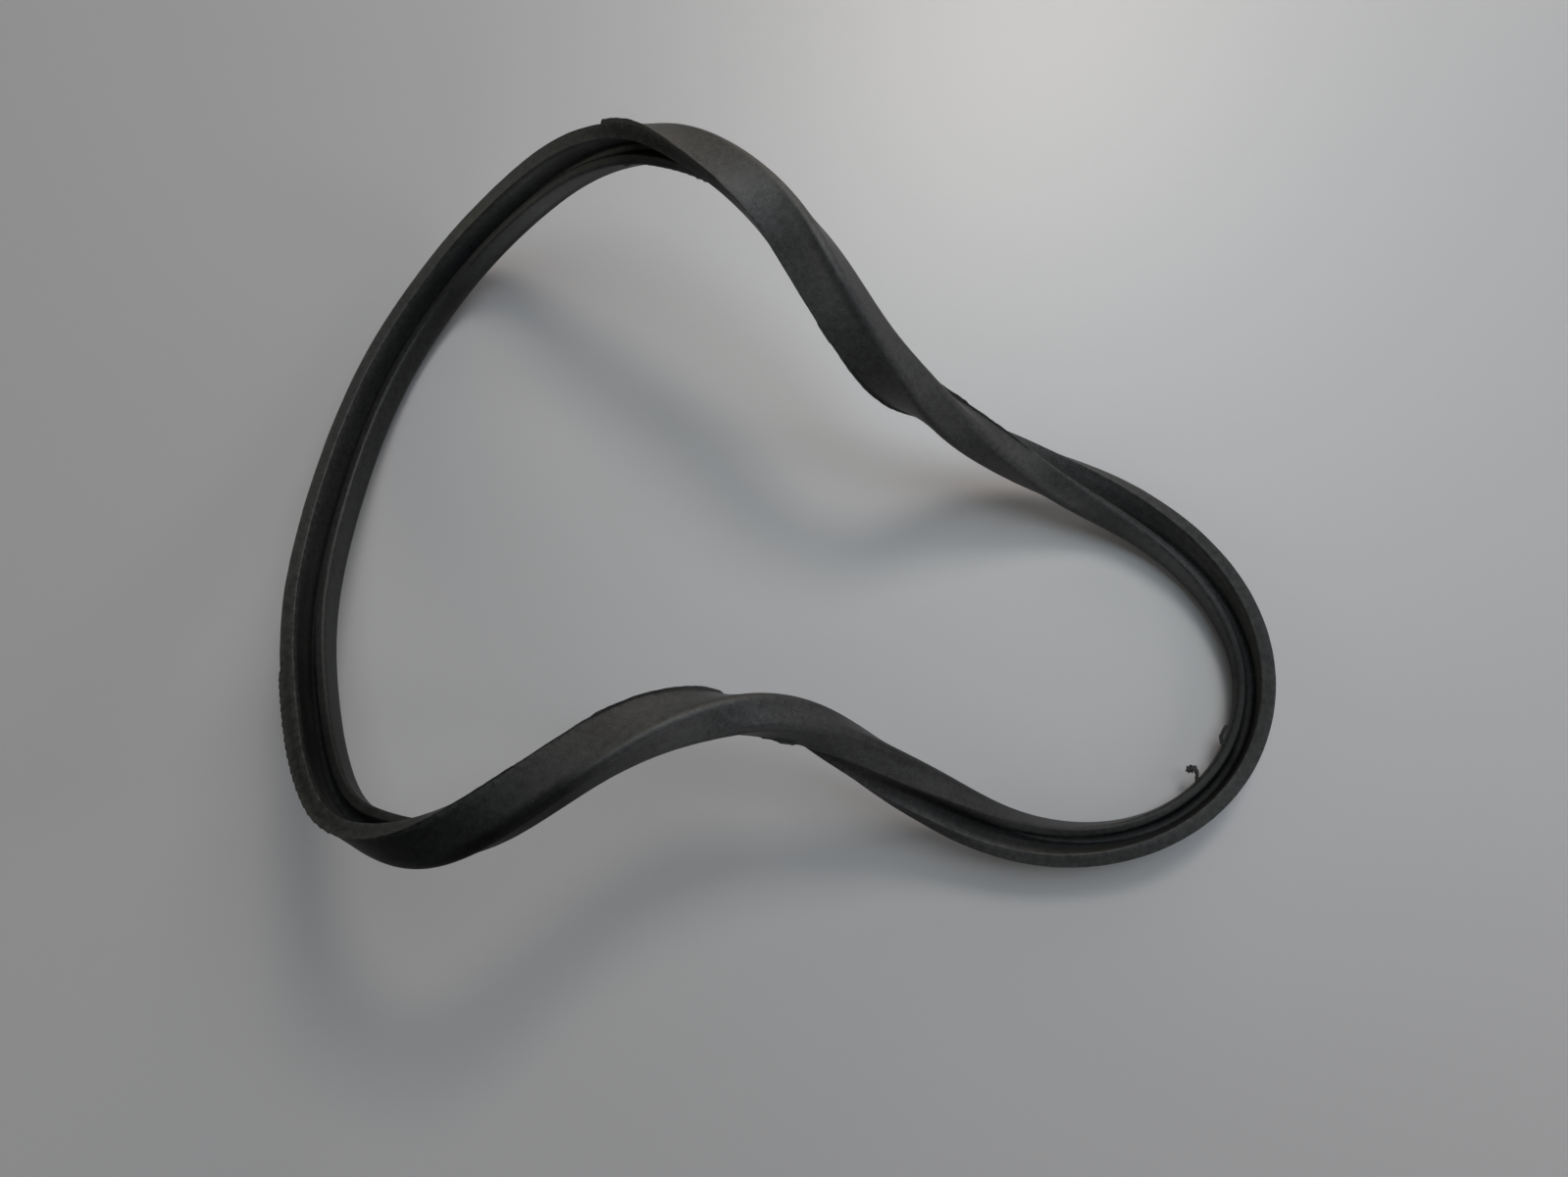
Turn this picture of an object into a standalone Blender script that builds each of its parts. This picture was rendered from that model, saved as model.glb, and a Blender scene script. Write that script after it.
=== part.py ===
"""Channel seal for a timing belt cover: one closed ring of moulded rubber, lying loose.

The ring has a channel section with a tall outer lip and a low inner lip. It rests on a flat
surface on its right lobe and on its upper left side, and twists once over between them on each
strand. What is left of the moulding flash is a thin ragged strip along some lengths of the lips,
with two torn slivers on the inner lip. The strips and slivers are trimmed off by hand.

Metres, +Z up. The origin is in the middle of the ring's footprint, on the surface that it rests on.
"""

import math

import bmesh
import bpy
import numpy as np

MM = 0.001

# The section, in millimetres. "Across" runs from the inner lip (-) to the outer lip (+), and
# "up" from the back (-) to the mouth (+). Both start in the middle of the section.
WIDTH = 7.0
DEPTH = 8.8
OUTER_LAND = 2.7
INNER_LAND = 1.9
LIP_STEP = 3.0
LIP_CHAMFER = 0.5
GROOVE_DEPTH = 5.9
GROOVE_DRAFT = 0.3
BACK_RADIUS = 1.6
BACK_ARC_STEPS = 3

# The ring is cut into this many stations along its length.
STATIONS = 132

# The middle of the section along the ring, counterclockwise seen from above, from the right-hand
# end: x, y and height in millimetres, and roll in degrees. At roll 0 the mouth faces up, and a
# positive roll turns it outwards.
ROUTE = [
    (92.1, -31.0, 4.5, -10),
    (86.4, -14.0, 4.5, 6),
    (71.2, 0.3, 5.5, 26),
    (51.4, 9.0, 11.0, 73),
    (40.4, 13.0, 17.5, 104),
    (25.4, 18.3, 28.5, 163),
    (13.9, 25.5, 39.5, 218),
    (6.4, 34.5, 45.5, 232),
    (-1.4, 45.0, 47.0, 258),
    (-11.4, 54.3, 47.0, 282),
    (-19.8, 59.7, 45.0, 301),
    (-27.6, 62.8, 42.0, 328),
    (-36.1, 64.0, 37.0, 344),
    (-50.1, 63.2, 24.0, 359),
    (-68.8, 54.3, 8.0, 377),
    (-83.0, 33.9, 4.8, 382),
    (-90.6, 5.5, 10.0, 379),
    (-90.1, -23.5, 22.0, 369),
    (-85.8, -38.5, 30.0, 364),
    (-80.2, -50.2, 38.0, 361),
    (-74.6, -57.0, 43.0, 353),
    (-66.9, -60.2, 47.0, 330),
    (-60.1, -60.8, 49.0, 302),
    (-52.1, -59.0, 50.0, 272),
    (-42.6, -53.7, 49.0, 258),
    (-33.1, -47.3, 46.0, 251),
    (-24.1, -42.8, 42.0, 230),
    (-14.1, -40.5, 38.0, 198),
    (-7.6, -40.4, 35.5, 173),
    (-0.6, -41.5, 32.0, 148),
    (6.9, -44.4, 28.0, 117),
    (16.4, -49.3, 22.0, 90),
    (27.4, -55.0, 14.0, 62),
    (41.1, -61.1, 7.5, 33),
    (57.4, -63.6, 4.5, 12),
    (74.7, -59.4, 4.4, -5),
    (87.8, -47.3, 4.5, -12),
]

# Moulding flash: name, lip, and the stretch that it is left on, counted in points of the route.
FLASH_STRIPS = [
    ("flash_outer_apex", "outer", 9.5, 11.5),
    ("flash_outer_upper_twist", "outer", 4.9, 6.7),
    ("flash_outer_left_side", "outer", 17.6, 22.7),
    ("flash_outer_low_corner", "outer", 22.9, 24.0),
    ("flash_outer_lower_twist", "outer", 25.2, 27.5),
    ("flash_inner_apex", "inner", 8.9, 9.8),
    ("flash_inner_upper_twist", "inner", 3.8, 5.0),
    ("flash_inner_lower_twist", "inner", 28.4, 29.2),
]
FLASH_HEIGHT = 0.7
FLASH_END_HEIGHT = 0.25
FLASH_THICKNESS = 0.4
FLASH_STEP = 0.2
FLASH_STATION_SPACING = 2.0
FLASH_WAVE = 0.15
FLASH_WAVE_TURN = 2.7

# Slivers of flash torn out of the inner lip, flat in the plane of the lip's land: name, place along
# the route, length, width at the root and the tip, direction at the root and how far it bends.
# Direction 0 points into the loop, and 90 degrees points along the ring.
SLIVERS = [
    ("torn_sliver_long", 35.5, 5.4, 1.2, 1.6, 38.0, -95.0),
    ("torn_sliver_short", 36.1, 3.6, 0.7, 0.5, 78.0, -6.0),
]
SLIVER_THICKNESS = 0.35
SLIVER_STEPS = 10

# Pieces that touch are drawn this far apart.
GAP = 0.3

# Edges that turn by more than this many degrees are shaded sharp.
SHARP_ANGLE = 35

RING_COLOUR = (0.03, 0.032, 0.031)
RING_ROUGHNESS = 0.6
FLASH_COLOUR = (0.035, 0.036, 0.034)
FLASH_ROUGHNESS = 0.65


def clear_scene():
    for obj in list(bpy.data.objects):
        bpy.data.objects.remove(obj)


def rubber(name, colour, roughness):
    material = bpy.data.materials.new(name)
    material.use_nodes = True
    shader = material.node_tree.nodes["Principled BSDF"]
    shader.inputs["Base Color"].default_value = (*colour, 1.0)
    shader.inputs["Roughness"].default_value = roughness
    shader.inputs["Metallic"].default_value = 0.0
    return material


def spline_bends(points, spans):
    """Second derivatives at the points of the smooth closed curve through them."""
    count = len(points)
    system = np.zeros((count, count))
    change = np.zeros(points.shape)
    for i in range(count):
        before, after = spans[i - 1], spans[i]
        system[i, i - 1] = before
        system[i, i] = 2 * (before + after)
        system[i, (i + 1) % count] = after
        rise = (points[(i + 1) % count] - points[i]) / after
        change[i] = 6 * (rise - (points[i] - points[i - 1]) / before)
    return np.linalg.solve(system, change)


class Ring:
    """The ring's middle line: a smooth closed curve through ROUTE, measured along its chords."""

    def __init__(self):
        self.points = np.array(ROUTE)
        ahead = np.roll(self.points, -1, axis=0) - self.points
        self.spans = np.linalg.norm(ahead[:, :3], axis=1)
        self.knots = np.concatenate([[0.0], np.cumsum(self.spans)])
        self.bends = spline_bends(self.points, self.spans)
        self.length = self.knots[-1]

    def along(self, index):
        """The distance along the ring of a place that is counted in points of the route."""
        return float(np.interp(index, range(len(self.knots)), self.knots))

    def row(self, distance):
        distance %= self.length
        i = min(int(np.searchsorted(self.knots, distance, side="right")) - 1, len(self.spans) - 1)
        j = (i + 1) % len(self.spans)
        span = self.spans[i]
        left = self.knots[i + 1] - distance
        right = distance - self.knots[i]
        ends = (self.points[i] * left + self.points[j] * right) / span
        bend_left = self.bends[i] * left * (left**2 - span**2)
        bend_right = self.bends[j] * right * (right**2 - span**2)
        return ends + (bend_left + bend_right) / (6 * span)

    def frame(self, distance):
        """The middle of the section there, and the directions along, across and up it."""
        middle = self.row(distance)
        along = self.row(distance + 0.5)[:3] - self.row(distance - 0.5)[:3]
        along /= np.linalg.norm(along)
        vertical = np.array([0.0, 0.0, 1.0]) - along * along[2]
        vertical /= np.linalg.norm(vertical)
        outwards = np.cross(along, vertical)
        roll = math.radians(middle[3])
        across = math.cos(roll) * outwards - math.sin(roll) * vertical
        up = math.cos(roll) * vertical + math.sin(roll) * outwards
        return middle[:3], along, across, up


def channel_section():
    """The section's outline: round the outer lip and the back to the inner lip and the groove."""
    side, top = WIDTH / 2, DEPTH / 2
    inner_top = top - LIP_STEP
    floor = top - GROOVE_DEPTH
    outline = [(side - OUTER_LAND, top), (side, top)]
    for sign in (1, -1):
        centre = (sign * (side - BACK_RADIUS), BACK_RADIUS - top)
        for step in range(BACK_ARC_STEPS + 1):
            turn = math.pi / 2 * step / BACK_ARC_STEPS
            if sign < 0:
                turn = math.pi / 2 - turn
            reach = sign * BACK_RADIUS * math.cos(turn)
            outline.append((centre[0] + reach, centre[1] - BACK_RADIUS * math.sin(turn)))
    outline += [
        (-side, inner_top - LIP_CHAMFER),
        (LIP_CHAMFER - side, inner_top),
        (INNER_LAND - side, inner_top),
        (INNER_LAND - side + GROOVE_DRAFT, floor),
        (side - OUTER_LAND - GROOVE_DRAFT, floor),
    ]
    return outline


def placed(frame, across, up):
    middle, _, side, mouth = frame
    point = middle + across * side + up * mouth
    point[2] = max(point[2], 0.0)
    return point * MM


def add_solid(name, loops, closed, material):
    """A solid skinned over loops of points. It closes on itself, or has a cap at each end."""
    mesh = bmesh.new()
    rows = [[mesh.verts.new(point) for point in loop] for loop in loops]
    pairs = list(zip(rows, rows[1:]))
    if closed:
        pairs.append((rows[-1], rows[0]))
    else:
        mesh.faces.new(rows[0])
        mesh.faces.new(list(reversed(rows[-1])))
    for first, second in pairs:
        for k in range(len(first)):
            after = (k + 1) % len(first)
            mesh.faces.new((first[after], first[k], second[k], second[after]))
    bmesh.ops.recalc_face_normals(mesh, faces=mesh.faces)
    data = bpy.data.meshes.new(name)
    mesh.to_mesh(data)
    mesh.free()
    data.shade_smooth()
    data.set_sharp_from_angle(angle=math.radians(SHARP_ANGLE))
    data.materials.append(material)
    obj = bpy.data.objects.new(name, data)
    bpy.context.scene.collection.objects.link(obj)
    return obj


def make_ring(ring):
    outline = channel_section()
    loops = []
    for station in range(STATIONS):
        frame = ring.frame(ring.length * station / STATIONS)
        loops.append([placed(frame, across, up) for across, up in outline])
    material = rubber("moulded_rubber", RING_COLOUR, RING_ROUGHNESS)
    add_solid("channel_ring", loops, True, material)


def make_flash_strip(ring, name, lip, first, last):
    """A thin strip off the lip's outside corner, low at its ends and a little wavy between."""
    start, stop = ring.along(first), ring.along(last)
    sign = 1 if lip == "outer" else -1
    foot = DEPTH / 2 if lip == "outer" else DEPTH / 2 - LIP_STEP - LIP_CHAMFER
    steps = max(4, round((stop - start) / FLASH_STATION_SPACING))
    inside = WIDTH / 2 + GAP
    loops = []
    for i in range(steps + 1):
        share = i / steps
        rise = math.sin(math.pi * share) ** 0.5 if 0 < i < steps else 0.0
        wave = 1.0 + FLASH_WAVE * math.sin(FLASH_WAVE_TURN * i)
        height = FLASH_END_HEIGHT + (FLASH_HEIGHT - FLASH_END_HEIGHT) * rise * wave
        frame = ring.frame(start + (stop - start) * share)
        low = foot - FLASH_THICKNESS - FLASH_STEP
        corners = ((inside, low), (inside + height, low + FLASH_STEP))
        corners += ((inside + height, foot), (inside, foot - FLASH_STEP))
        loops.append([placed(frame, sign * across, up) for across, up in corners])
    add_solid(name, loops, False, rubber(name, FLASH_COLOUR, FLASH_ROUGHNESS))


def make_sliver(ring, name, place, length, width, tip_width, direction, bend):
    """A flat tongue that leaves the inner lip and bends in its own plane."""
    middle, along, across, up = ring.frame(ring.along(place))
    beside = GAP + width / 2 * math.sin(math.radians(abs(direction)))
    level = DEPTH / 2 - LIP_STEP - LIP_CHAMFER - SLIVER_THICKNESS / 2
    centre = middle - across * (WIDTH / 2 + beside) + up * level
    step = length / SLIVER_STEPS
    thick = up * SLIVER_THICKNESS / 2
    loops = []
    for i in range(SLIVER_STEPS + 1):
        share = i / SLIVER_STEPS
        turn = math.radians(direction + bend * share)
        ahead = along * math.sin(turn) - across * math.cos(turn)
        half = along * math.cos(turn) + across * math.sin(turn)
        half = half * (width + (tip_width - width) * share) / 2
        corners = [half + thick, half - thick, -half - thick, -half + thick]
        loops.append([(centre + corner) * MM for corner in corners])
        centre = centre + ahead * step
    add_solid(name, loops, False, rubber(name, FLASH_COLOUR, FLASH_ROUGHNESS))


def main():
    clear_scene()
    ring = Ring()
    make_ring(ring)
    for name, lip, first, last in FLASH_STRIPS:
        make_flash_strip(ring, name, lip, first, last)
    for name, *shape in SLIVERS:
        make_sliver(ring, name, *shape)


main()
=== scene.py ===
"""The looks of a timing belt cover seal: a loose ring of moulded rubber channel with torn flash.

Everything is in metres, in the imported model's frame. The route and the section are the ones that
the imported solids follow, and they are given in millimetres.
"""

import math

import bmesh
import bpy
import numpy as np
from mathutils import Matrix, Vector, noise


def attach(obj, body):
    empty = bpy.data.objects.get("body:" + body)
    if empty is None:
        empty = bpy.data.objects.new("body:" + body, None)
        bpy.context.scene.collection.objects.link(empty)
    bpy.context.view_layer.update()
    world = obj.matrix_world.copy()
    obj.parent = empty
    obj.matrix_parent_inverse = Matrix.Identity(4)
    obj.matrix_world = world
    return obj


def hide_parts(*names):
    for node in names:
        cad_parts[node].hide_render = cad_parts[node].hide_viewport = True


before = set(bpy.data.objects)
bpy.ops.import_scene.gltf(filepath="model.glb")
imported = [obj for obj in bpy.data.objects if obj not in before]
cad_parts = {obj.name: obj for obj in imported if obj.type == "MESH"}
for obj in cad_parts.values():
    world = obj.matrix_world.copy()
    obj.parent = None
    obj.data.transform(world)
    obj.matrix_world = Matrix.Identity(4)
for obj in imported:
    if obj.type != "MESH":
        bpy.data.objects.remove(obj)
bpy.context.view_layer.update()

MM = 0.001

# ---------------------------------------------------------------- the ring's shape, in millimetres

WIDTH = 7.0
DEPTH = 8.8
OUTER_LAND = 2.7
INNER_LAND = 1.9
LIP_STEP = 3.0
GROOVE_DEPTH = 5.9
GROOVE_DRAFT = 0.3
BACK_RADIUS = 1.6
LAND_RADIUS = 0.22
INNER_LIP_RADIUS = 0.75
INNER_EDGE_RADIUS = 0.45
FLOOR_RADIUS = 0.7

SIDE = WIDTH / 2
TOP = DEPTH / 2
INNER_TOP = TOP - LIP_STEP
FLOOR = TOP - GROOVE_DEPTH

STATIONS = 1190
LONGEST_SIDE = 1.3

# How far a point may lie from the line between two parts of the section and still be on the part.
GROOVE_EDGE = 0.02
LAND_EDGE = 0.1
INNER_LAND_EDGE = 0.3

# Unevenness of the lips: a long wave and a short one, each as (length, height).
LONG_WAVE = (9.0, 0.05)
SHORT_WAVE = (2.2, 0.012)
SIDEWAYS_SHARE = 0.6

# The middle of the section: x, y, height and roll in degrees, counterclockwise from the right.
ROUTE = [
    (92.1, -31.0, 4.5, -10),
    (86.4, -14.0, 4.5, 6),
    (71.2, 0.3, 5.5, 26),
    (51.4, 9.0, 11.0, 73),
    (40.4, 13.0, 17.5, 104),
    (25.4, 18.3, 28.5, 163),
    (13.9, 25.5, 39.5, 218),
    (6.4, 34.5, 45.5, 232),
    (-1.4, 45.0, 47.0, 258),
    (-11.4, 54.3, 47.0, 282),
    (-19.8, 59.7, 45.0, 301),
    (-27.6, 62.8, 42.0, 328),
    (-36.1, 64.0, 37.0, 344),
    (-50.1, 63.2, 24.0, 359),
    (-68.8, 54.3, 8.0, 377),
    (-83.0, 33.9, 4.8, 382),
    (-90.6, 5.5, 10.0, 379),
    (-90.1, -23.5, 22.0, 369),
    (-85.8, -38.5, 30.0, 364),
    (-80.2, -50.2, 38.0, 361),
    (-74.6, -57.0, 43.0, 353),
    (-66.9, -60.2, 47.0, 330),
    (-60.1, -60.8, 49.0, 302),
    (-52.1, -59.0, 50.0, 272),
    (-42.6, -53.7, 49.0, 258),
    (-33.1, -47.3, 46.0, 251),
    (-24.1, -42.8, 42.0, 230),
    (-14.1, -40.5, 38.0, 198),
    (-7.6, -40.4, 35.5, 173),
    (-0.6, -41.5, 32.0, 148),
    (6.9, -44.4, 28.0, 117),
    (16.4, -49.3, 22.0, 90),
    (27.4, -55.0, 14.0, 62),
    (41.1, -61.1, 7.5, 33),
    (57.4, -63.6, 4.5, 12),
    (74.7, -59.4, 4.4, -5),
    (87.8, -47.3, 4.5, -12),
]

# How pale the rubber is along each part of the section, against its usual grey, in colour and gloss: painted
# light and shade that stand in for reflections and shade, partly dust and bloom. (place in points of the
# route, share of the usual)
PAINTED_LIGHT_AND_DUST = {
    "flank": [
        (0, 1.3), (5, 1.5), (5.8, 1.1), (6.8, 2.5), (8, 1.7), (9, 1.3), (10.7, 1.3), (12, 1.0),
        (19.8, 0.25), (21.4, 0.27), (23.1, 0.42), (24.3, 0.78), (25.2, 0.9), (26.2, 1.7), (28.2, 1.5),
        (31, 1.2), (37, 1.3)],
    "back": [
        (0, 1.6), (2.5, 1.5), (4, 1.5), (5, 1.35), (6.3, 1.5), (8, 1.4), (12, 1.0), (19.8, 0.4),
        (21.9, 0.5), (23, 0.2), (24.3, 0.25), (25.2, 1.0), (26.2, 1.5), (28.2, 1.25), (29.5, 1.15),
        (31, 0.78), (34, 1.05), (37, 1.6)],
    "outer_land": [
        (0, 0.95), (1.5, 0.85), (6.8, 2.3), (8, 2.7), (9, 0.88), (10.2, 0.46), (11.2, 0.42), (12, 1.0),
        (13.6, 1.7), (15.2, 1.6), (16.3, 1.45), (17.5, 0.9), (18.7, 0.62), (22, 0.92), (31, 0.5), (32, 0.55),
        (32.8, 1.2), (35, 1.0), (37, 0.95)],
    "groove": [
        (0, 2.3), (1.5, 3.3), (3, 1.4), (10.2, 0.7), (11.2, 0.62), (12, 2.6), (13, 4.0), (14.2, 0.9),
        (16.3, 0.9), (17.5, 0.4), (18.7, 0.33), (19.9, 0.8), (31, 0.8), (33, 1.1), (34, 0.9), (35, 0.7),
        (36, 0.7), (37, 2.3)],
    "groove_floor": [
        (0, 1.8), (1.5, 2.4), (3, 1.6), (10.2, 0.6), (11.2, 0.4), (12, 1.8), (13, 2.5), (14.2, 1.1),
        (17.5, 0.4), (19.9, 1.05), (31, 1.4), (33, 2.6), (34, 1.5), (35, 0.7), (36, 0.42), (37, 1.8)],
    "inner_land": [
        (0, 0.78), (1.5, 1.4), (9, 1.1), (11.2, 0.58), (12, 0.95), (13, 1.3), (14.2, 0.75), (16.3, 1.05),
        (17.5, 0.85), (18.7, 0.45), (20.9, 0.72), (31, 0.42), (32, 0.42), (33, 0.76), (35, 0.86),
        (37, 0.84)],
    "inner_wall": [
        (0, 0.7), (1.5, 2.6), (3, 1.1), (4, 1.6), (11.2, 0.46), (12, 1.1), (13, 2.6), (14.2, 0.56),
        (16.3, 0.85), (18.7, 0.33), (22, 0.5), (28.7, 1.5), (30, 1.05), (34, 1.05), (37, 0.9)],
}

# How much paler the foot of the groove's walls is than their top: painted light that lifts the shade in the
# groove, partly dust.
GROOVE_FOOT_LIFT = 1.3

# Flash that the mould left in the plane of a land: lip, seed, height of its saw teeth, and how far
# it stands out at places that are counted in points of the route. Below 0 it is torn off flush.
FINS = {
    "flash_outer_apex": ("outer", 11, 0.0, [
        (8.4, -0.2), (8.9, 0.1), (9.6, 0.32), (10.3, 0.6), (11.0, 0.8), (11.5, 0.78), (11.52, 0.45),
        (11.54, -0.1)]),
    "flash_outer_upper_twist": ("outer", 23, 0.0, [
        (4.76, -0.2), (4.84, 0.3), (5.25, 0.55), (5.95, 0.5), (6.23, 0.16), (6.35, 0.12), (6.38, 0.38),
        (6.65, 0.34), (6.72, -0.2)]),
    "flash_outer_left_side": ("outer", 37, 0.2, [
        (17.6, -0.2), (17.63, 0.36), (18.9, 0.26), (20.0, 0.3), (20.9, 0.26), (21.9, 0.32), (22.8, 0.3)]),
    "flash_outer_low_corner": ("outer", 41, 0.06, [
        (22.8, 0.3), (23.3, 0.42), (23.7, 0.5), (23.97, 0.42), (24.02, 0.1)]),
    "flash_outer_lower_twist": ("outer", 53, 0.0, [
        (24.02, 0.1), (24.5, 0.24), (25.16, 0.3), (25.28, 0.64), (26.0, 0.55), (27.05, 0.66),
        (27.42, 0.42), (27.57, -0.2)]),
    "flash_inner_apex": ("inner", 67, 0.4, [
        (8.8, -0.2), (8.95, 0.2), (9.7, 0.16), (9.9, -0.3), (11.12, -0.3), (11.18, 0.14),
        (11.34, 0.28), (11.4, -0.2)]),
    "flash_inner_upper_twist": ("inner", 71, 0.0, [
        (3.56, -0.2), (3.7, 0.16), (3.98, 0.32), (4.6, 0.4), (4.64, 0.66), (4.97, 0.72), (5.03, -0.2)]),
    "flash_inner_lower_twist": ("inner", 83, 0.0, [
        (28.28, -0.2), (28.38, 0.18), (28.62, 0.16), (28.81, 0.56), (29.12, 0.46), (29.26, -0.2)]),
}
FIN_ROOT = 0.42
FIN_STATION = 0.2
FIN_LOWEST = -0.2
TOOTH_PITCH = 1.7

# How far below its land's plane a fin leaves the lip.
FIN_DROP = {"outer": 0.03, "inner": 0.4}

# How ragged and how droopy a fin is: waves as (length, share of its height) and (length, height).
FIN_LONG_WAVE = (1.6, 0.1)
FIN_SHORT_WAVE = (0.4, 0.05)
FIN_DROOP_WAVE = (3.0, 0.12)

# Slivers torn out of the inner lip, flat in the same plane: place, seed, where the middle starts
# beside the lip, and steps of (length, direction in degrees, half width, lift). Direction 0 points
# into the loop, and 90 points along the ring.
SLIVERS = {
    "torn_sliver_long": (35.5, 91, 0.35, [
        (0.0, 42.0, 0.6, -0.1), (0.6, 42.0, 0.46, 0.05), (1.0, 38.0, 0.42, 0.2), (0.8, 20.0, 0.44, 0.3),
        (0.35, -20.0, 0.85, 0.32), (0.3, -48.0, 0.7, 0.3), (0.3, -58.0, 1.1, 0.22),
        (0.25, -62.0, 0.5, 0.15), (0.3, -64.0, 0.9, 0.1), (0.35, -68.0, 0.25, 0.05),
        (0.25, -70.0, 0.06, 0.0)]),
    "torn_sliver_short": (36.09, 97, 0.3, [
        (0.0, 20.0, 0.5, -0.1), (0.6, 20.0, 0.45, 0.0), (0.5, 55.0, 0.4, 0.1), (0.9, 84.0, 0.38, 0.2),
        (0.9, 88.0, 0.36, 0.3), (0.7, 86.0, 0.32, 0.35), (0.5, 100.0, 0.34, 0.3),
        (0.3, 120.0, 0.1, 0.2)]),
}
SLIVER_DROP = 0.5
SLIVER_STATION = 0.1
SLIVER_WAVE = (0.3, 0.45)
# A sliver's section, counterclockwise: side, share of the half width on that side, and height.
SLIVER_SECTION = [
    (1, 1.0, 0.0), (1, 0.5, 0.07), (1, 0.0, 0.1), (-1, 0.5, 0.08),
    (-1, 1.0, 0.0), (-1, 0.5, -0.08), (1, 0.0, -0.12), (1, 0.5, -0.09),
]
SLIVER_WORN_FROM = 0.6


def spline_bends(points, spans):
    """Second derivatives at the points of the smooth closed curve through them."""
    count = len(points)
    system = np.zeros((count, count))
    change = np.zeros(points.shape)
    for i in range(count):
        before, after = spans[i - 1], spans[i]
        system[i, i - 1] = before
        system[i, i] = 2 * (before + after)
        system[i, (i + 1) % count] = after
        rise = (points[(i + 1) % count] - points[i]) / after
        change[i] = 6 * (rise - (points[i] - points[i - 1]) / before)
    return np.linalg.solve(system, change)


class Ring:
    """The ring's middle line: a smooth closed curve through ROUTE, measured along its chords."""

    def __init__(self):
        self.points = np.array(ROUTE)
        ahead = np.roll(self.points, -1, axis=0) - self.points
        self.spans = np.linalg.norm(ahead[:, :3], axis=1)
        self.knots = np.concatenate([[0.0], np.cumsum(self.spans)])
        self.bends = spline_bends(self.points, self.spans)
        self.length = self.knots[-1]

    def along(self, index):
        """The distance along the ring of a place that is counted in points of the route."""
        return float(np.interp(index, range(len(self.knots)), self.knots))

    def row(self, distance):
        distance %= self.length
        i = min(int(np.searchsorted(self.knots, distance, side="right")) - 1, len(self.spans) - 1)
        j = (i + 1) % len(self.spans)
        span = self.spans[i]
        left = self.knots[i + 1] - distance
        right = distance - self.knots[i]
        ends = (self.points[i] * left + self.points[j] * right) / span
        bend_left = self.bends[i] * left * (left**2 - span**2)
        bend_right = self.bends[j] * right * (right**2 - span**2)
        return ends + (bend_left + bend_right) / (6 * span)

    def frame(self, distance):
        """The middle of the section there, and the directions along, across and up it."""
        middle = self.row(distance)
        along = self.row(distance + 0.5)[:3] - self.row(distance - 0.5)[:3]
        along /= np.linalg.norm(along)
        vertical = np.array([0.0, 0.0, 1.0]) - along * along[2]
        vertical /= np.linalg.norm(vertical)
        outwards = np.cross(along, vertical)
        roll = math.radians(middle[3])
        across = math.cos(roll) * outwards - math.sin(roll) * vertical
        up = math.cos(roll) * vertical + math.sin(roll) * outwards
        return middle[:3], along, across, up


def rounded_outline(corners):
    """The closed outline through corners of (across, up, radius, steps, name), each one rounded.

    Straight runs are divided. Each point comes with the name of the corner that it rounds, or "".
    """
    arcs = []
    for i, (x, y, radius, steps, name) in enumerate(corners):
        here = Vector((x, y))
        back = (Vector(corners[i - 1][:2]) - here).normalized()
        on = (Vector(corners[(i + 1) % len(corners)][:2]) - here).normalized()
        half = back.angle(on) / 2
        centre = here + (back + on).normalized() * (radius / math.sin(half))
        first = here + back * (radius / math.tan(half)) - centre
        last = here + on * (radius / math.tan(half)) - centre
        turn = first.angle_signed(last)
        arc = []
        for step in range(steps + 1):
            angle = -turn * step / steps
            spun = Vector((first.x * math.cos(angle) - first.y * math.sin(angle),
                           first.x * math.sin(angle) + first.y * math.cos(angle)))
            arc.append((*(centre + spun), name))
        arcs.append(arc)
    outline = []
    for i, arc in enumerate(arcs):
        outline += arc
        start, end = Vector(arc[-1][:2]), Vector(arcs[(i + 1) % len(arcs)][0][:2])
        pieces = max(1, math.ceil((end - start).length / LONGEST_SIDE))
        for piece in range(1, pieces):
            outline.append((*start.lerp(end, piece / pieces), ""))
    return outline


def channel_outline():
    """The channel's section, from the groove's edge round the outer lip, the back and the groove."""
    return rounded_outline([
        (SIDE - OUTER_LAND, TOP, LAND_RADIUS, 4, "edge"),
        (SIDE, TOP, LAND_RADIUS, 4, "edge"),
        (SIDE, -TOP, BACK_RADIUS, 9, "back"),
        (-SIDE, -TOP, BACK_RADIUS, 9, "back"),
        (-SIDE, INNER_TOP, INNER_LIP_RADIUS, 6, "edge"),
        (INNER_LAND - SIDE, INNER_TOP, INNER_EDGE_RADIUS, 5, "edge"),
        (INNER_LAND - SIDE + GROOVE_DRAFT, FLOOR, FLOOR_RADIUS, 4, "floor"),
        (SIDE - OUTER_LAND - GROOVE_DRAFT, FLOOR, FLOOR_RADIUS, 4, "floor"),
    ])


# ---------------------------------------------------------------- meshes

ring = Ring()


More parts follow.
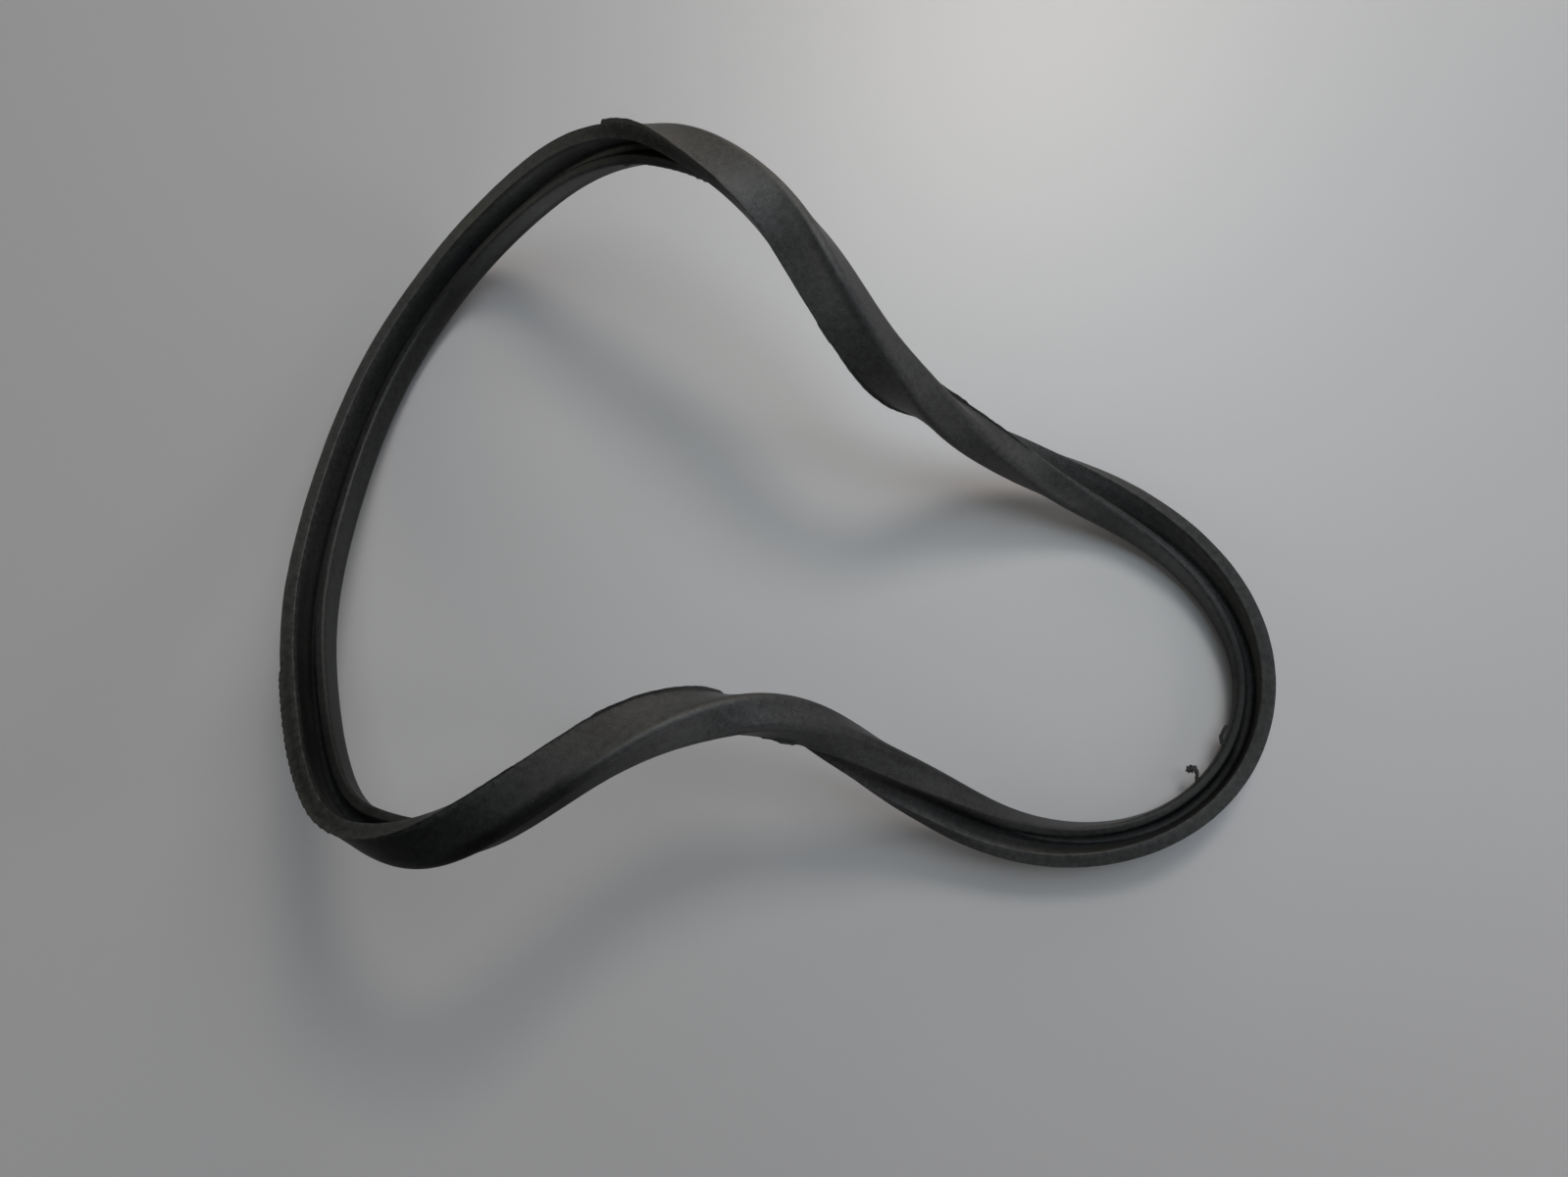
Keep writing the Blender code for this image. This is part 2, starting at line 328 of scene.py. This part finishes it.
def skin(name, loops, closed, marks, material):
    """A mesh skinned over loops of points. It closes on itself, or has a cap at each end.

    marks gives, by name, the value that each point of each loop keeps as an attribute.
    """
    count, across = len(loops), len(loops[0])
    verts = [point for loop in loops for point in loop]
    faces = []
    for i in range(count if closed else count - 1):
        for k in range(across):
            here, there = i * across, (i + 1) % count * across
            after = (k + 1) % across
            faces.append((here + after, here + k, there + k, there + after))
    if not closed:
        faces.append(tuple(range(across)))
        faces.append(tuple((count - 1) * across + k for k in reversed(range(across))))
    data = bpy.data.meshes.new(name)
    data.from_pydata([tuple(point * MM) for point in verts], [], faces)
    for mark, values in marks.items():
        attribute = data.attributes.new(mark, "FLOAT", "POINT")
        attribute.data.foreach_set("value", np.array(values, np.float32).ravel())
    mesh = bmesh.new()
    mesh.from_mesh(data)
    bmesh.ops.recalc_face_normals(mesh, faces=mesh.faces)
    mesh.to_mesh(data)
    mesh.free()
    data.shade_smooth()
    data.materials.append(material)
    obj = bpy.data.objects.new(name, data)
    bpy.context.scene.collection.objects.link(obj)
    return obj


def wander(x, seed, octaves=3):
    """Smooth noise of about -1 to 1 along a line."""
    return noise.fractal(Vector((x, seed * 17.3, seed * 5.1)), 0.8, 2.0, octaves)


def part_of_section(side, mouth):
    """The name of the part of the section that a point is on, for PAINTED_LIGHT_AND_DUST."""
    inside = INNER_LAND - SIDE + GROOVE_EDGE < side < SIDE - OUTER_LAND - GROOVE_EDGE
    if inside and mouth > FLOOR - LAND_EDGE:
        return "groove" if mouth > FLOOR + FLOOR_RADIUS else "groove_floor"
    if mouth < BACK_RADIUS - TOP:
        return "back"
    if side > 0:
        return "outer_land" if mouth > TOP - LAND_EDGE else "flank"
    return "inner_land" if mouth > INNER_TOP - INNER_LAND_EDGE else "inner_wall"


def make_channel(material):
    """The ring, with the slight unevenness of its lips."""
    outline = channel_outline()
    parts = [part_of_section(side, mouth) for side, mouth, _ in outline]
    loops, edges, light_and_dust_tones = [], [], []
    for station in range(STATIONS):
        distance = ring.length * station / STATIONS
        middle, _, across, up = ring.frame(distance)
        place = float(np.interp(distance, ring.knots, range(len(ring.knots))))
        # Painted light and shade along the ring, partly dust: the share of the usual grey for each part of
        # the section.
        light_and_dust = {part: float(np.interp(place, *zip(*table))) for part, table in PAINTED_LIGHT_AND_DUST.items()}
        loop = []
        for (side, mouth, corner), part in zip(outline, parts):
            outer = side > 0
            uneven = wander(distance / LONG_WAVE[0], 1 if outer else 2) * LONG_WAVE[1]
            uneven += wander(distance / SHORT_WAVE[0], 3 if outer else 4) * SHORT_WAVE[1]
            share = max(0.0, mouth - FLOOR) / (TOP - FLOOR)
            sideways = uneven * share * SIDEWAYS_SHARE
            point = middle + across * (side + sideways) + up * (mouth + uneven * share)
            point[2] = max(point[2], 0.0)
            loop.append(point)
            edges.append(1.0 if corner == "edge" and outer else 0.0)
            # Painted light, partly dust: the groove's walls get paler towards their foot.
            depth = (INNER_TOP - mouth) / (INNER_TOP - FLOOR - FLOOR_RADIUS)
            deeper = 1.0 + GROOVE_FOOT_LIFT * max(0.0, depth) if part == "groove" else 1.0
            light_and_dust_tones.append(light_and_dust[part] * deeper)
        loops.append(loop)
    return skin("channel_ring_rubber", loops, True, {"wear": edges, "light_and_dust": light_and_dust_tones}, material)


def make_fin(node, material):
    """A thin torn fin that stands out from a lip. Its root is inside the lip."""
    lip, seed, teeth, profile = FINS[node]
    stops = [ring.along(place) for place, _ in profile]
    heights = [height for _, height in profile]
    count = math.ceil((stops[-1] - stops[0]) / FIN_STATION)
    sign, land = (1, TOP) if lip == "outer" else (-1, INNER_TOP)
    level = land - FIN_DROP[lip]
    loops, tips = [], []
    for i in range(count + 1):
        distance = stops[0] + (stops[-1] - stops[0]) * i / count
        height = float(np.interp(distance, stops, heights))
        ragged = 1.0 + FIN_LONG_WAVE[1] * wander(distance / FIN_LONG_WAVE[0], seed)
        ragged += FIN_SHORT_WAVE[1] * wander(distance / FIN_SHORT_WAVE[0], seed + 1)
        height = max(FIN_LOWEST, height * ragged)
        height += teeth * ((distance / TOOTH_PITCH) % 1.0 - 0.5)
        droop = FIN_DROOP_WAVE[1] * wander(distance / FIN_DROOP_WAVE[0], seed + 2)
        outline = [
            (-FIN_ROOT, 0.0, 0.0), (0.2 * height, -0.01, 0.0), (0.7 * height, -0.03, 0.5),
            (height - 0.04, -0.05, 1.0), (height, -0.09, 1.0), (height - 0.03, -0.14, 1.0),
            (0.6 * height, -0.17, 0.5), (0.15 * height, -0.24, 0.0), (-0.06, -0.32, 0.0),
            (-FIN_ROOT, -0.34, 0.0),
        ]
        middle, _, across, up = ring.frame(distance)
        loop = []
        for out, drop, tip in outline:
            point = middle + across * sign * (SIDE + out) + up * (level + drop + droop * tip)
            point[2] = max(point[2], 0.0)
            loop.append(point)
            tips.append(tip)
        loops.append(loop)
    return skin(node + "_fin", loops, False, {"wear": tips}, material)


def make_sliver(node, material):
    """A thin torn tongue, flat in the plane of the land, with ragged sides."""
    place, seed, start, path = SLIVERS[node]
    middle, along, across, up = ring.frame(ring.along(place))
    centre = middle - across * (SIDE - start) + up * (INNER_TOP - SLIVER_DROP)
    ends = np.cumsum([step[0] for step in path])
    loops, tips = [], []
    count = math.ceil(ends[-1] / SLIVER_STATION)
    last = 0.0
    for i in range(count + 1):
        gone = ends[-1] * i / count
        turn = math.radians(np.interp(gone, ends, [step[1] for step in path]))
        half = float(np.interp(gone, ends, [step[2] for step in path]))
        lift = float(np.interp(gone, ends, [step[3] for step in path]))
        ahead = along * math.sin(turn) - across * math.cos(turn)
        aside = along * math.cos(turn) + across * math.sin(turn)
        centre = centre + ahead * (gone - last)
        last = gone
        ragged = {
            1: half * (1.0 + SLIVER_WAVE[1] * wander(gone / SLIVER_WAVE[0], seed)),
            -1: half * (1.0 + SLIVER_WAVE[1] * wander(gone / SLIVER_WAVE[0], seed + 1)),
        }
        loop = []
        for sign, share, height in SLIVER_SECTION:
            side = sign * share * ragged[sign]
            loop.append(centre + aside * side + up * (lift + height))
            tips.append(1.0 if abs(side) > SLIVER_WORN_FROM * half else 0.0)
        loops.append(loop)
    return skin(node + "_tongue", loops, False, {"wear": tips}, material)


# ---------------------------------------------------------------- materials


class Nodes:
    """Builds a material's node tree. Each call adds one node and returns its output."""

    def __init__(self, name):
        self.material = bpy.data.materials.new(name)
        self.material.use_nodes = True
        self.tree = self.material.node_tree
        self.shader = self.tree.nodes["Principled BSDF"]

    def feed(self, socket, value):
        if isinstance(value, bpy.types.NodeSocket):
            self.tree.links.new(value, socket)
        elif isinstance(value, tuple) and len(value) == 3 and socket.type == "RGBA":
            socket.default_value = (*value, 1.0)
        else:
            socket.default_value = value

    def add(self, kind, output, inputs, **settings):
        made = self.tree.nodes.new("ShaderNode" + kind)
        for key, value in settings.items():
            setattr(made, key, value)
        for key, value in inputs.items():
            self.feed(made.inputs[key], value)
        return made.outputs[output]

    def place(self):
        return self.add("TexCoord", "Object", {})

    def noise(self, size, detail=3.0, roughness=0.55):
        inputs = {"Vector": self.place(), "Scale": 1 / size, "Detail": detail, "Roughness": roughness}
        return self.add("TexNoise", "Fac", inputs)

    def ramp(self, value, low, high, out_low=0.0, out_high=1.0):
        inputs = {"Value": value, "From Min": low, "From Max": high}
        inputs |= {"To Min": out_low, "To Max": out_high}
        return self.add("MapRange", "Result", inputs)

    def maths(self, operation, first, second):
        return self.add("Math", "Value", {0: first, 1: second}, operation=operation)

    def mix(self, share, first, second):
        inputs = {0: share, 6: first, 7: second}
        return self.add("Mix", 2, inputs, data_type="RGBA")

    def scaled(self, colour, share):
        return self.add("VectorMath", "Vector", {0: colour, "Scale": share}, operation="SCALE")

    def mark(self, name):
        return self.add("Attribute", "Fac", {}, attribute_name=name)


MOTTLE_SIZE = 0.0012
PATCH_SIZE = 0.014
GRAIN_SIZE = 0.0003
SPECK_SPACING = 0.0021
SPECK_COLOUR = (0.17, 0.165, 0.15)
GRAIN_BUMP = 0.00002
MOTTLE_BUMP = 0.00007

RUBBER_BASE = (0.0175, 0.0178, 0.0178)
RUBBER_BLOOM = (0.033, 0.0328, 0.032)
FLASH_BASE = (0.017, 0.0172, 0.0165)
FLASH_BLOOM = (0.033, 0.032, 0.030)


def rubber_material(name, base, bloom, painted_light_and_dust):
    """Moulded rubber, years old: mottled, a little dusty, paler on its worn edges, and where asked, with
    painted light and shade along the ring.
    """
    made = Nodes(name)
    mottle = made.noise(MOTTLE_SIZE, 5.0, 0.7)
    patches = made.noise(PATCH_SIZE, 3.0)
    grain = made.noise(GRAIN_SIZE, 2.0, 0.6)
    light_and_dust = made.mark("light_and_dust") if painted_light_and_dust else 1.0
    darker = tuple(0.7 * c for c in base)
    colour = made.mix(made.ramp(mottle, 0.32, 0.68), darker, base)
    colour = made.mix(made.ramp(patches, 0.4, 0.68, 0.0, 0.4), colour, bloom)
    colour = made.mix(made.ramp(grain, 0.58, 0.75, 0.0, 0.5), colour, tuple(2.0 * c for c in bloom))
    # Painted light and shade, partly dust: the colour is scaled by each point's share of the usual grey.
    colour = made.scaled(colour, light_and_dust)
    worn = made.maths("MULTIPLY", made.mark("wear"), made.ramp(mottle, 0.4, 0.62, 0.1, 0.5))
    colour = made.mix(worn, colour, tuple(1.6 * c for c in bloom))
    cells = made.add("TexVoronoi", "Distance", {"Vector": made.place(), "Scale": 1 / SPECK_SPACING})
    dusty = made.ramp(patches, 0.48, 0.68, 0.05, 0.5)
    specks = made.maths("MULTIPLY", made.ramp(cells, 0.075, 0.045), dusty)
    colour = made.mix(specks, colour, SPECK_COLOUR)
    made.feed(made.shader.inputs["Base Color"], colour)
    made.feed(made.shader.inputs["Roughness"], made.ramp(mottle, 0.3, 0.7, 0.44, 0.56))
    # The gloss is scaled by the same painted light and shade.
    gloss = made.maths("MULTIPLY", made.ramp(patches, 0.35, 0.65, 0.36, 0.28), light_and_dust)
    gloss = made.maths("MULTIPLY", gloss, made.ramp(mottle, 0.35, 0.65, 0.72, 1.25))
    made.feed(made.shader.inputs["Specular IOR Level"], gloss)
    fine = made.add("Bump", "Normal", {"Height": grain, "Distance": GRAIN_BUMP, "Strength": 0.6})
    waves = {"Height": mottle, "Distance": MOTTLE_BUMP, "Strength": 0.6, "Normal": fine}
    made.feed(made.shader.inputs["Normal"], made.add("Bump", "Normal", waves))
    return made.material


def floor_material():
    made = Nodes("floor")
    made.feed(made.shader.inputs["Base Color"], (0.5, 0.485, 0.488))
    made.feed(made.shader.inputs["Roughness"], 0.45)
    made.feed(made.shader.inputs["IOR"], 2.0)
    return made.material


# ---------------------------------------------------------------- the studio

WARM = (1.0, 0.92, 0.84)
COOL = (0.8, 0.92, 1.0)
WHITE = (0.98, 0.97, 1.0)
AMBER = (1.0, 0.7, 0.2)
CREAM = (1.0, 0.95, 0.75)

FLOOR_REACH = 2.2
FLOOR_GAP = 0.00005

DOME_COLOUR = (0.97, 0.99, 1.0, 1.0)
DOME_AT_HORIZON = 0.32
DOME_ABOVE = 0.02
DOME_FADE_HEIGHT = 0.22

CAMERA_PLACE = (-0.0016, -0.0528, 0.255)
CAMERA_TILT = 9
CAMERA_LENS = 28.82

def area_light(name, direction, distance, size, watts, colour):
    data = bpy.data.lights.new(name, "AREA")
    data.shape = "DISK"
    data.size = size
    data.energy = watts
    data.color = colour
    lamp = bpy.data.objects.new(name, data)
    direction = Vector(direction).normalized()
    lamp.location = direction * distance
    lamp.rotation_euler = direction.to_track_quat("Z", "Y").to_euler()
    bpy.context.scene.collection.objects.link(lamp)


def make_backdrop():
    """A dim dome that gets paler towards the horizon."""
    world = bpy.data.worlds.new("studio")
    world.use_nodes = True
    tree = world.node_tree
    background = tree.nodes["Background"]
    place = tree.nodes.new("ShaderNodeTexCoord")
    split = tree.nodes.new("ShaderNodeSeparateXYZ")
    fade = tree.nodes.new("ShaderNodeMapRange")
    fade.inputs["From Max"].default_value = DOME_FADE_HEIGHT
    fade.inputs["To Min"].default_value = DOME_AT_HORIZON
    fade.inputs["To Max"].default_value = DOME_ABOVE
    tree.links.new(place.outputs["Generated"], split.inputs["Vector"])
    tree.links.new(split.outputs["Z"], fade.inputs["Value"])
    tree.links.new(fade.outputs["Result"], background.inputs["Strength"])
    background.inputs["Color"].default_value = DOME_COLOUR
    bpy.context.scene.world = world


def make_studio():
    make_backdrop()
    area_light("key", (0.2, 0.6, 0.8), 1.0, 0.26, 2.2, WARM)
    area_light("overhead", (0.27, 0.34, 0.9), 1.0, 0.9, 3.5, COOL)
    area_light("window", (0.4, 0.9, 0.25), 2.4, 2.0, 16.0, WHITE)
    area_light("low_back", (0.25, 1.0, 0.12), 2.4, 1.0, 4.5, AMBER)
    area_light("left", (-1.0, 0.0, 0.3), 2.4, 2.0, 7.5, CREAM)
    area_light("front", (0.6, -0.8, 0.3), 2.4, 2.0, 9.5, WHITE)
    area_light("front_left", (-0.56, -0.56, 0.62), 1.1, 0.8, 0.5, COOL)
    area_light("right", (1.0, 0.1, 0.25), 2.4, 1.6, 5.0, WHITE)
    area_light("side", (1.0, -0.1, 0.6), 1.0, 0.15, 0.5, WHITE)


def make_floor():
    data = bpy.data.meshes.new("floor")
    corners = [(x * FLOOR_REACH, y * FLOOR_REACH, 0) for x, y in ((-1, -1), (1, -1), (1, 1), (-1, 1))]
    data.from_pydata(corners, [], [(0, 1, 2, 3)])
    data.materials.append(floor_material())
    floor = bpy.data.objects.new("floor", data)
    floor.location.z = -FLOOR_GAP
    bpy.context.scene.collection.objects.link(floor)


def make_camera():
    data = bpy.data.cameras.new("camera")
    data.sensor_width = 36.0
    data.lens = CAMERA_LENS
    camera = bpy.data.objects.new("camera", data)
    camera.location = CAMERA_PLACE
    camera.rotation_euler = (math.radians(CAMERA_TILT), 0.0, 0.0)
    bpy.context.scene.collection.objects.link(camera)
    bpy.context.scene.camera = camera


scene = bpy.context.scene
scene.view_settings.view_transform = "Standard"
rubber = rubber_material("moulded_rubber", RUBBER_BASE, RUBBER_BLOOM, True)
flash = rubber_material("rubber_flash", FLASH_BASE, FLASH_BLOOM, False)
channel = make_channel(rubber)
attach(channel, "root")
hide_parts("channel_ring")
for node in FINS:
    fin = make_fin(node, flash)
    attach(fin, "root")
    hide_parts(node)
for node in SLIVERS:
    sliver = make_sliver(node, flash)
    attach(sliver, "root")
    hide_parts(node)
make_studio()
make_floor()
make_camera()
